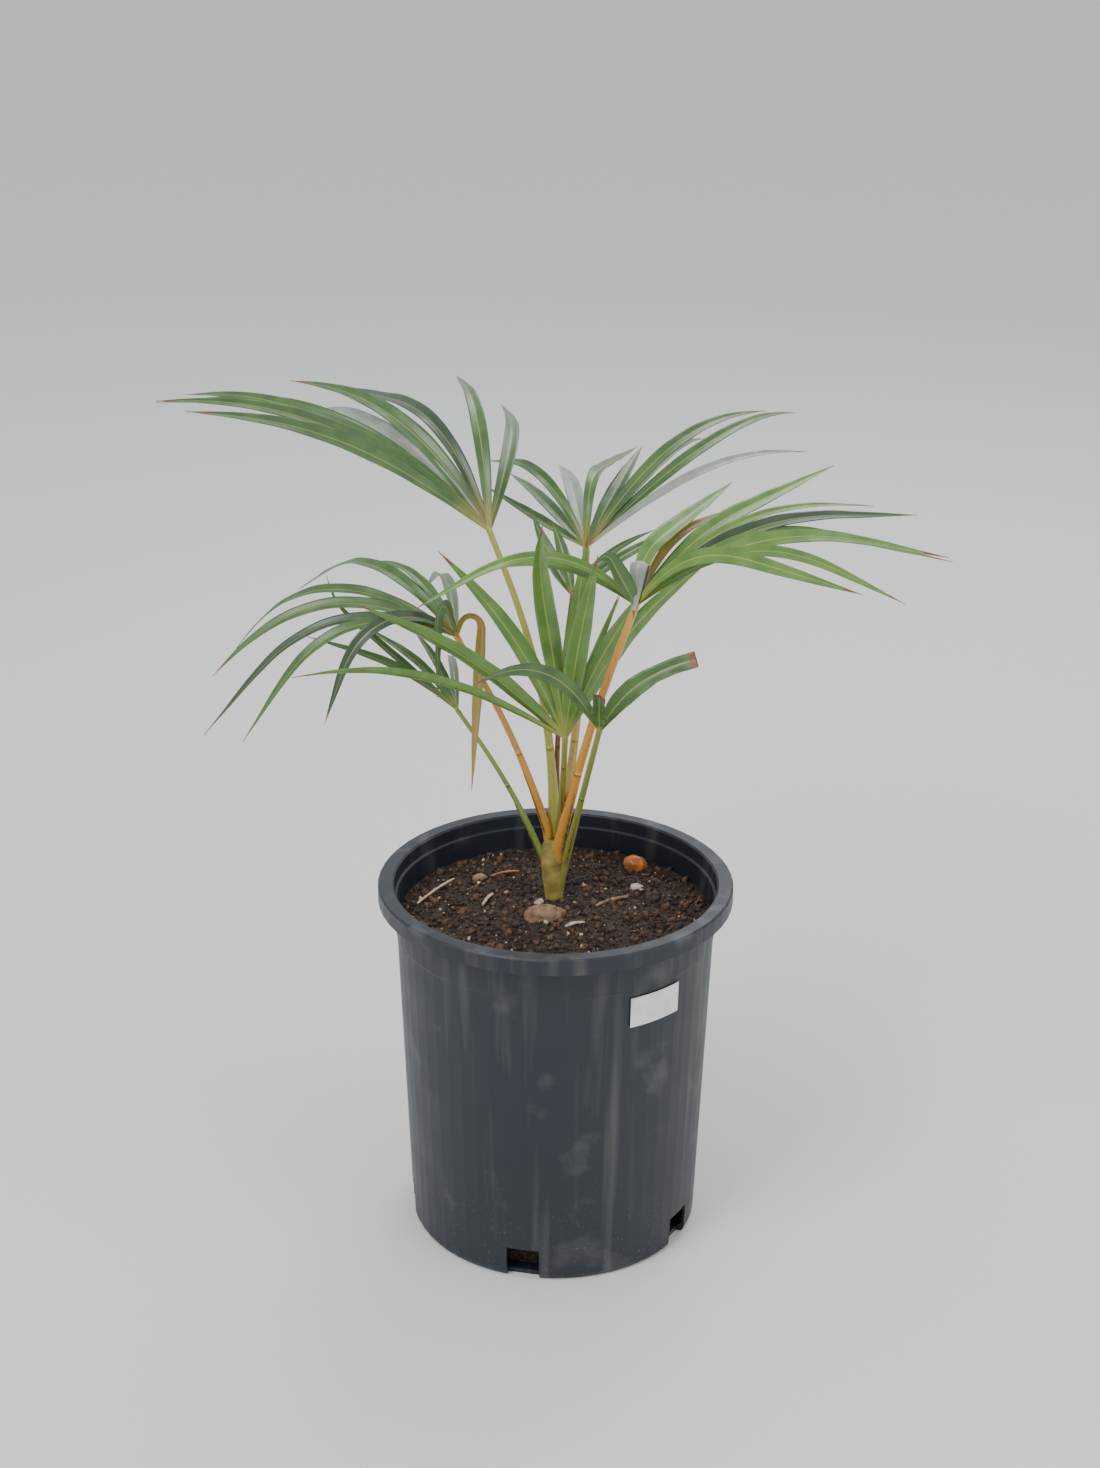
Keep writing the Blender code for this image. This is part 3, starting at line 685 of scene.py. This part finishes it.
def mottled_material(name):
    """Two tones in patches, with a bump of the same grain."""
    finish = FINISHES[name]
    material, tree, shader = blank_material(name, finish.roughness)
    grain = noise(tree, finish.grain, 6)
    tone = colour_steps(tree, grain, TONE_MARKS, finish.dark, finish.light)
    tree.links.new(tone, shader.inputs["Base Color"])
    bumped(tree, shader, grain, finish.strength, finish.depth)
    return material


def pot_material(colour):
    """Blue-black plastic: pale dust in upright streaks, scuffs, specks low down and a pale painted
    highlight along the rim's top.
    """
    material, tree, shader = blank_material("pot_plastic", 0.42)
    place = add_node(tree, "ShaderNodeTexCoord").outputs["Object"]
    height = add_node(tree, "ShaderNodeSeparateXYZ", Vector=place).outputs["Z"]
    height = computed(tree, "MULTIPLY", height, POT_HEIGHT_SCALE)
    scuffs = marked(tree, POT_SCUFFS)
    specks = marked(tree, POT_SPECKS)
    low = colour_steps(tree, height, (0, POT_SPECKS_TOP), PALE, BLACK)
    # the top few millimetres of the rim, which get the painted highlight
    rim = masked(tree, height, *POT_RIM_MARKS, POT_RIM_STRENGTH)
    tone = mixed(tree, marked(tree, POT_DUST), tuple(colour), POT_DUST.tint)
    tone = mixed(tree, scuffs, tone, POT_SCUFFS.tint)
    tone = mixed(tree, mixed(tree, specks, BLACK, low), tone, POT_SPECKS.tint)
    tone = mixed(tree, mixed(tree, scuffs, BLACK, rim), tone, POT_RIM_HIGHLIGHT)
    tree.links.new(tone, shader.inputs["Base Color"])
    least, change = POT_ROUGHNESS
    uneven = computed(tree, "MULTIPLY", noise(tree, POT_ROUGHNESS_GRAIN, 5), change)
    tree.links.new(computed(tree, "ADD", least, uneven), shader.inputs["Roughness"])
    bumped(tree, shader, noise(tree, POT_GRAIN, 2), POT_GRAIN_STRENGTH, POT_GRAIN_DEPTH)
    return material


def stalk_course(stalk):
    """The stalk's own bending line, from its foot."""
    return course(Vector(stalk.foot) * MM, stalk)


def stalk_radius(stalk, share):
    """Half the stalk's thickness, which thins quickly at the foot and slowly above."""
    thin = share**STALK_THINNING
    return (stalk.thick_foot + (stalk.thick_tip - stalk.thick_foot) * thin) / 2 * MM


def side_and_up(ahead):
    """Two directions square to each course direction: level to its side, and upwards from it."""
    side = unit(np.cross(ahead, NEAR_UP))
    return side, np.cross(side, ahead)


def tube(points, radii, channel=STALK_CHANNEL, sides=STALK_SIDES, tone=0):
    """A round bar along points: a circle of each point's radius square to the course, with its upper side
    sunk by the channel's share of the radius."""
    side, up = side_and_up(unit(np.gradient(points, axis=0)))
    turn = round_turns(sides)[:, None]
    depth = 1 - channel * np.maximum(np.sin(turn), 0) ** 3
    spread = side[:, None] * np.cos(turn) + up[:, None] * np.sin(turn)
    return lofted(points[:, None] + spread * (depth * radii[:, None, None]), tone)


def width_share(share, cut):
    """A blade's width as a share of its greatest: a sine rise from the root, and a sine fall to a fine tip,
    or to a blunt one where it is cut."""
    opening = ROOT_WIDTH + (1 - ROOT_WIDTH) * np.sin(np.clip(share / WIDEST, 0, 1) * np.pi / 2)
    closing = np.sin(np.clip((1 - share) / (1 - WIDEST), 0, 1) * np.pi / 2)
    full = np.where(share < WIDEST, opening, closing)
    least = np.where(share < WIDEST, 0, CUT_WIDTH if cut else TIP_WIDTH)
    return np.maximum(full, least)


def blade_roll(share, ahead, above, face, draw):
    """The blade's untwisted side, and how far the blade turns about its course: enough at the root to face
    the fan's way, then an even random twist and a small sine."""
    side = np.cross(above, ahead)
    wanted = direction(np.radians(face[0]), np.radians(face[1]))
    roll = np.arctan2(wanted @ side[0], wanted @ above[0])
    roll = roll + np.radians(draw.uniform(-TWIST, TWIST)) * share
    roll = roll + np.radians(WOBBLE) * np.sin(share * WOBBLE_WAVES + draw.uniform(0, 6))
    return side, roll[:, None]


def blade(start, leaflet, face, fold, seed, tone):
    """A leaflet: a V-shaped section carried along its bending course. Its halves rise from the rib by the
    fold's tangent, less towards the tip, and its edges wave by a sine along the length."""
    points, ahead, above = course(start, leaflet, leaflet.middle, leaflet.spread, leaflet.sway, SPANS)
    draw = np.random.default_rng(seed)
    share = np.linspace(0, 1, SPANS + 1)
    side, roll = blade_roll(share, ahead, above, face, draw)
    up = np.cos(roll) * above + np.sin(roll) * side
    across = np.cos(roll) * side - np.sin(roll) * above
    half = (width_share(share, leaflet.cut) * leaflet.width * MM / 2)[:, None]
    reach = np.linspace(-1, 1, HALF_SECTION)
    flattening = (1 - FOLD_FLATTENING * share)[:, None]
    lift = np.abs(reach)[None] ** FOLD_CURVE * half * np.tan(fold) * flattening
    wave = np.sin(share * EDGE_WAVES + draw.uniform(0, 6))[:, None]
    lift = lift + EDGE_WAVE * half * wave * reach[None] ** 2
    flat = points[:, None] + across[:, None] * (reach[None, :, None] * half[..., None])
    thick = LEAF_THICK * (0.5 + 0.5 * np.cos(reach * np.pi / 2))[None, :, None]
    upper = flat + up[:, None] * lift[..., None]
    lower = upper - up[:, None] * (thick + LEAF_EXTRA)
    return lofted(np.concatenate([upper, lower[:, ::-1]], 1), tone)


def knot(stalk, tone):
    """The swelling that a fan's leaflets root in: a bar along the stalk's end with an elliptic outline."""
    points, ahead, _ = stalk_course(stalk)
    reach = np.linspace(*KNOT_SPAN, KNOT_ROWS)[:, None]
    outline = np.clip(KNOT_BULGE - np.linspace(*KNOT_ELLIPSE, KNOT_ROWS) ** 2, *KNOT_LIMITS)
    return tube(points[-1] + ahead[-1] * reach, stalk.thick_tip / 2 * MM * np.sqrt(outline), 0, tone=tone)


def make_frond(name, fold, materials):
    """All leaflets of one fan with their knot, as one piece."""
    stalk = STALKS[name]
    hub = stalk_course(stalk)[0][-1]
    patches = []
    for index, leaflet in enumerate(LEAFLETS[name]):
        tone = LEAF_PICKS.get((name, index), PLAIN_TONE.get(name, "leaf_green"))
        seed = BLADE_SEED * len(name) + index
        patches.append(blade(hub, leaflet, stalk.face, fold, seed, LEAF_NAMES.index(tone)))
    patches.append(knot(stalk, len(LEAF_NAMES)))
    make_piece(f"leaflets_{name}", patches, materials, (f"frond_{name}",))


class PALM_OT_stalks(bpy.types.Operator):
    """Builds the leaf stalks above the stem"""

    bl_idname = "palm.stalks"
    bl_label = "Leaf stalks"

    def execute(self, context):
        for name, stalk in STALKS.items():
            first = SHEATH_LENGTH / (stalk.length * MM)
            points = part_of(stalk_course(stalk)[0], first, 1, STALK_ROWS)
            radii = stalk_radius(stalk, np.linspace(first, 1, STALK_ROWS))
            material = stalk_material(name)
            make_piece(f"stalk_{name}", [tube(points, radii)], [material], (f"petiole_{name}",))
        return {"FINISHED"}


class PALM_OT_fronds(bpy.types.Operator):
    """Builds the leaflets of all eight fans"""

    bl_idname = "palm.fronds"
    bl_label = "Fronds"

    def execute(self, context):
        greens = [leaf_material(name) for name in LEAF_NAMES]
        for name in STALKS:
            materials = greens + [bpy.data.materials[f"stalk_{name}"]]
            make_frond(name, context.scene.palm.fold, materials)
        return {"FINISHED"}


def sheath(stalk, tone):
    """A stalk's foot: a bar that starts inside the stem, runs to the foot and on along the stalk, and whose
    extra thickness fades evenly to nothing where the stalk stands free."""
    reach = SHEATH_LENGTH / (stalk.length * MM)
    free = part_of(stalk_course(stalk)[0], 0, reach, SHEATH_ROWS)
    foot = free[0]
    below = foot[2] - SHEATH_ROOT_DROP
    root = np.array([STEM_X, STEM_Y, below]) * SHEATH_ROOT_LEAN
    root = root + np.array([foot[0], foot[1], below]) * (1 - SHEATH_ROOT_LEAN)
    climb = np.linspace(0, SHEATH_ROOT_END, SHEATH_ROOT_ROWS)[:, None]
    line = np.vstack([root + (foot - root) * climb, free])
    share = np.concatenate([np.zeros(SHEATH_ROOT_ROWS), np.linspace(0, reach, SHEATH_ROWS)])
    radii = stalk_radius(stalk, share) * (SHEATH_FAT + (1 - SHEATH_FAT) * share / reach)
    radii[:SHEATH_ROOT_ROWS] *= np.linspace(SHEATH_ROOT_THIN, 1, SHEATH_ROOT_ROWS)
    return tube(line, radii, SHEATH_CHANNEL, tone=tone)


def sheath_margin(stalk, seed, tone):
    """A torn dry margin on a sheath's side: a thin strip whose width falls by a power of the share of its
    length, and is made ragged by the product of two sines."""
    draw = np.random.default_rng(seed)
    reach = MARGIN_REACH * SHEATH_LENGTH / (stalk.length * MM)
    line = part_of(stalk_course(stalk)[0], 0, reach, MARGIN_ROWS)
    share = np.linspace(0, 1, MARGIN_ROWS)
    ahead = unit(np.gradient(line, axis=0))
    side, up = side_and_up(ahead)
    turn = draw.uniform(*MARGIN_TURNS)
    out = side * np.cos(turn) + up * np.sin(turn)
    radius = stalk_radius(stalk, 0) * SHEATH_FAT
    torn = np.sin(share * MARGIN_WAVES[0] + draw.uniform(0, 6)) * np.sin(share * MARGIN_WAVES[1])
    ragged = 1 - MARGIN_RAGGED + MARGIN_RAGGED * torn
    width = (1 - share) ** MARGIN_FADE * ragged * radius * MARGIN_WIDTH + MARGIN_LEAST
    width = width[:, None]
    inner = line + out * radius * (MARGIN_ROOT - MARGIN_ROOT_FALL * share)[:, None]
    edge = inner + out * width * MARGIN_FLARE + np.cross(ahead, out) * width
    thick = np.cross(ahead, unit(edge - inner)) * MARGIN_THICK
    rings = np.stack([inner + thick, edge + thick, edge - thick, inner - thick], 1)
    return lofted(rings, tone)


def stem_core(tone):
    """The stem: rings of radius by height, with twisting furrows of a rounded sine between its sheaths."""
    height = np.array([ring[0] for ring in STEM_RINGS]) * MM
    radius = np.array([ring[1] for ring in STEM_RINGS]) * MM
    level = np.linspace(0, height[-1], STEM_ROWS)[:, None]
    turn = round_turns(STEM_SIDES)
    furrow = np.abs(np.sin(turn * FURROWS / 2 + level * FURROW_TWIST)) ** FURROW_ROUNDING
    reach = np.interp(level, height, radius) * (1 - FURROW_DEPTH * furrow)
    z = np.broadcast_to(MIX_TOP + level, reach.shape)
    rings = np.stack([STEM_X + reach * np.cos(turn), STEM_Y + reach * np.sin(turn), z], -1)
    return lofted(rings, tone)


class PALM_OT_stem(bpy.types.Operator):
    """Builds the stem with its overlapping sheaths and their torn margins"""

    bl_idname = "palm.stem"
    bl_label = "Stem"

    def execute(self, context):
        materials = [bpy.data.materials[f"stalk_{name}"] for name in STALKS]
        core = len(materials)
        materials += [mottled_material("stem_core"), mottled_material("dry_sheath")]
        patches = [stem_core(core)]
        for index, stalk in enumerate(STALKS.values()):
            patches.append(sheath(stalk, index))
            patches.append(sheath_margin(stalk, MARGIN_SEED + index, core + 1))
        make_piece("stem_sheaths", patches, materials, ("stem",))
        return {"FINISHED"}


def soil_height(x, y, relief):
    """The soil's height: nearly level, falling at the wall, with broad and fine lumps."""
    slope = (np.hypot(x, y) - SOIL_FLAT_RADIUS) / (SOIL_RADIUS - SOIL_FLAT_RADIUS)
    height = MIX_TOP + SOIL_LIFT - SOIL_DROP * np.clip(slope, 0, 1)
    place = np.stack([x, y, np.zeros_like(x)], -1)
    lumps = [share * ripple(place, size, seed) for share, size, seed in (BROAD_LUMPS, FINE_LUMPS)]
    return height + relief * sum(lumps)


def soil_surface(relief):
    """A round sheet of rings at the soil's height, closed by a flat bed just under it."""
    radius = np.linspace(0, 1, SOIL_ROWS)[:, None] ** SOIL_CROWDING * SOIL_RADIUS
    turn = round_turns(SOIL_SIDES)[None]
    x, y = radius * np.cos(turn), radius * np.sin(turn)
    top = np.stack([x, y, soil_height(x, y, relief)], -1)
    bed = np.stack([x[-1:], y[-1:], np.full_like(x[-1:], MIX_TOP - SOIL_BED)], -1)
    return lofted(np.concatenate([top, bed, bed * (SOIL_BED_RING, SOIL_BED_RING, 1)]))


def crumb_patch(count, crumbs, relief):
    """Loose crumbs: cubes stretched by random sizes, each corner drawn in or out, turned every way by the
    orthogonal half of a random matrix, and laid on the soil evenly over its area."""
    draw = np.random.default_rng(crumbs.seed)
    radius = crumbs.reach * MM * np.sqrt(draw.uniform(0, 1, count))
    turn = draw.uniform(0, FULL_TURN, count)
    x, y = radius * np.cos(turn), radius * np.sin(turn)
    growth = (crumbs.largest - crumbs.smallest) * draw.uniform(0, 1, count) ** CRUMB_RARITY
    size = (crumbs.smallest + growth) * MM
    z = soil_height(x, y, relief) + size * CRUMB_LIFT
    square = ((-1, -1), (1, -1), (1, 1), (-1, 1))
    cube = np.array([(a, b, c) for c in (-1, 1) for a, b in square]) / np.sqrt(3)
    frames = np.linalg.qr(draw.normal(size=(count, 3, 3)))[0]
    stretch = draw.uniform(*CRUMB_STRETCH, (count, 1, 3))
    corners = cube[None] * stretch * draw.uniform(*CRUMB_CORNERS, (count, 8, 1)) * size[:, None, None]
    points = np.einsum("nij,nkj->nki", frames, corners) + np.stack([x, y, z], -1)[:, None]
    sides = ((0, 1, 5, 4), (1, 2, 6, 5), (2, 3, 7, 6), (3, 0, 4, 7))
    quads = np.array([(0, 3, 2, 1), (4, 5, 6, 7), *sides])
    mirrored = (np.linalg.det(frames) < 0)[:, None, None]
    faces = np.where(mirrored, quads[None, :, ::-1], quads[None])
    faces = (faces + np.arange(count)[:, None, None] * 8).reshape(-1, 4)
    tone = SOIL_FINISHES.index(crumbs.finish)
    return points.reshape(-1, 3), faces, np.zeros((len(faces), 4, 2)), np.full(len(faces), tone)


def lump_patch(lump):
    """A rounded lump: a ball's rings with a rippled skin, stretched to three sizes and turned about Z."""
    limit = np.pi / 2 - LUMP_POLE
    rise = np.linspace(-limit, limit, LUMP_ROWS)[:, None]
    way = round_turns(LUMP_SIDES)[None]
    ball = direction(way, rise + 0 * way)
    ball = ball * (1 + lump.rough * ripple(ball, LUMP_GRAIN, lump.seed))[..., None]
    ball = ball * np.array(lump.sizes) * MM / 2
    spin = np.array(Matrix.Rotation(np.radians(lump.turn), 3, "Z"))
    return lofted(ball @ spin.T + np.array(lump.centre) * MM, SOIL_FINISHES.index(lump.finish))


def straw_patch(straw):
    """A thin stick between two points, bowed upwards by half a sine and thinned at its ends."""
    share = np.linspace(0, 1, STRAW_ROWS)[:, None]
    first, last = (np.array(end) * MM for end in (straw.first, straw.last))
    line = first + (last - first) * share
    line = line + np.array((0, 0, 1)) * np.sin(share * np.pi) * STRAW_BOW
    draw = np.random.default_rng(straw.seed)
    uneven = 1 + STRAW_UNEVEN * draw.uniform(-1, 1, STRAW_ROWS)
    taper = np.sin(np.linspace(STRAW_END, np.pi - STRAW_END, STRAW_ROWS)) ** STRAW_BLUNTNESS
    radii = straw.thick * MM / 2 * uneven * taper
    return tube(line, radii, STRAW_CHANNEL, STRAW_SIDES, SOIL_FINISHES.index(straw.finish))


class PALM_OT_soil(bpy.types.Operator):
    """Builds the soil's surface with its crumbs, chips, straws and lumps"""

    bl_idname = "palm.soil"
    bl_label = "Soil"

    def execute(self, context):
        settings = context.scene.palm
        relief = settings.soil_relief
        finishes = [mottled_material(name) for name in SOIL_FINISHES]
        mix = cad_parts["potting_mix"].data.materials
        mix.clear()
        mix.append(finishes[0])
        make_piece("soil_surface", [soil_surface(relief)], finishes[:1])
        loose = [crumb_patch(settings.crumbs // kind.one_in, kind, relief) for kind in CRUMBS]
        make_piece("soil_crumbs", loose, finishes)
        lumps = [lump_patch(lump) for lump in LUMPS] + [straw_patch(straw) for straw in STRAWS]
        make_piece("soil_lumps", lumps, finishes)
        return {"FINISHED"}


def label_patch():
    """A blank label: a thin sheet bent round the pot's cone."""
    turn = np.radians(np.linspace(*LABEL_TURN, LABEL_COLUMNS))[None]
    share = np.linspace(0, 1, LABEL_ROWS)[:, None] + 0 * turn
    height = LABEL_HEIGHT[0] + share * (LABEL_HEIGHT[1] - LABEL_HEIGHT[0])
    layers = []
    for lift in (0, LABEL_THICK):
        radius = LABEL_RADIUS[0] + share * (LABEL_RADIUS[1] - LABEL_RADIUS[0]) + lift
        layers.append(np.stack([radius * np.sin(turn), -radius * np.cos(turn), height], -1))
    return lofted(np.concatenate([layers[1], layers[0][:, ::-1]], 1))


class PALM_OT_pot(bpy.types.Operator):
    """Gives the pot its dusty plastic and adds its blank label"""

    bl_idname = "palm.pot"
    bl_label = "Pot"

    def execute(self, context):
        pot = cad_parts["pot"].data.materials
        pot.clear()
        pot.append(pot_material(context.scene.palm.pot_colour))
        make_piece("blank_label", [label_patch()], [mottled_material("label_paper")])
        return {"FINISHED"}


def add_floor(context):
    """A wide pale floor at the pot's foot."""
    bpy.ops.mesh.primitive_plane_add(size=FLOOR_SIZE)
    floor = context.object
    floor.name = "floor"
    material, _, shader = blank_material("floor_paint", FLOOR_ROUGHNESS)
    shader.inputs["Base Color"].default_value = (*context.scene.palm.floor_colour, 1)
    floor.data.materials.append(material)


def add_light(scene):
    """A pale sky all round and three broad lamps that aim at the pot."""
    world = bpy.data.worlds.new("studio")
    world.use_nodes = True
    sky = world.node_tree.nodes["Background"].inputs
    sky["Color"].default_value = (*SKY_COLOUR, 1)
    sky["Strength"].default_value = SKY_STRENGTH
    scene.world = world
    for lamp in LAMPS:
        light = bpy.data.lights.new(lamp.name, "AREA")
        light.energy = lamp.power
        light.size = lamp.size
        item = bpy.data.objects.new(lamp.name, light)
        item.location = lamp.place
        aim = Vector(LAMP_AIM) - Vector(lamp.place)
        item.rotation_euler = aim.to_track_quat("-Z", "Y").to_euler()
        scene.collection.objects.link(item)


def add_camera(scene):
    """The photograph's view, from in front and above."""
    camera = bpy.data.objects.new("camera", bpy.data.cameras.new("camera"))
    camera.data.sensor_width = SENSOR
    camera.data.lens = FOCAL_PIXELS / IMAGE_HEIGHT * SENSOR
    back = Vector((0, -np.cos(CAMERA_PITCH), np.sin(CAMERA_PITCH))) * CAMERA_DISTANCE
    tilt = Euler((np.pi / 2 - CAMERA_PITCH, 0, 0)).to_matrix()
    turned = (tilt @ Matrix.Rotation(CAMERA_ROLL, 3, "Z")).to_4x4()
    camera.matrix_world = Matrix.Translation(Vector(CAMERA_AIM) + back) @ turned
    scene.collection.objects.link(camera)
    scene.camera = camera


class PALM_OT_stage(bpy.types.Operator):
    """Sets the pale floor, the soft lights and the camera"""

    bl_idname = "palm.stage"
    bl_label = "Stage"

    def execute(self, context):
        add_floor(context)
        add_light(context.scene)
        add_camera(context.scene)
        return {"FINISHED"}


OPERATORS = (PALM_OT_stalks, PALM_OT_fronds, PALM_OT_stem, PALM_OT_soil, PALM_OT_pot, PALM_OT_stage)


class PALM_PT_panel(bpy.types.Panel):
    """Lists the palm's pieces and their settings"""

    bl_idname = "PALM_PT_panel"
    bl_label = "Potted fan palm"
    bl_space_type = "VIEW_3D"
    bl_region_type = "UI"
    bl_category = "Palm"

    def draw(self, context):
        for name in ("fold", "crumbs", "soil_relief", "pot_colour", "floor_colour"):
            self.layout.prop(context.scene.palm, name)
        for operator in OPERATORS:
            self.layout.operator(operator.bl_idname)


CLASSES = (PalmSettings, *OPERATORS, PALM_PT_panel)


def register():
    for item in CLASSES:
        bpy.utils.register_class(item)
    bpy.types.Scene.palm = bpy.props.PointerProperty(type=PalmSettings)


def unregister():
    del bpy.types.Scene.palm
    for item in reversed(CLASSES):
        bpy.utils.unregister_class(item)


def main():
    """Builds every piece and the stage."""
    register()
    for operator in OPERATORS:
        group, name = operator.bl_idname.split(".")
        getattr(getattr(bpy.ops, group), name)()
    bpy.context.view_layer.update()


if __name__ == "__main__":
    main()
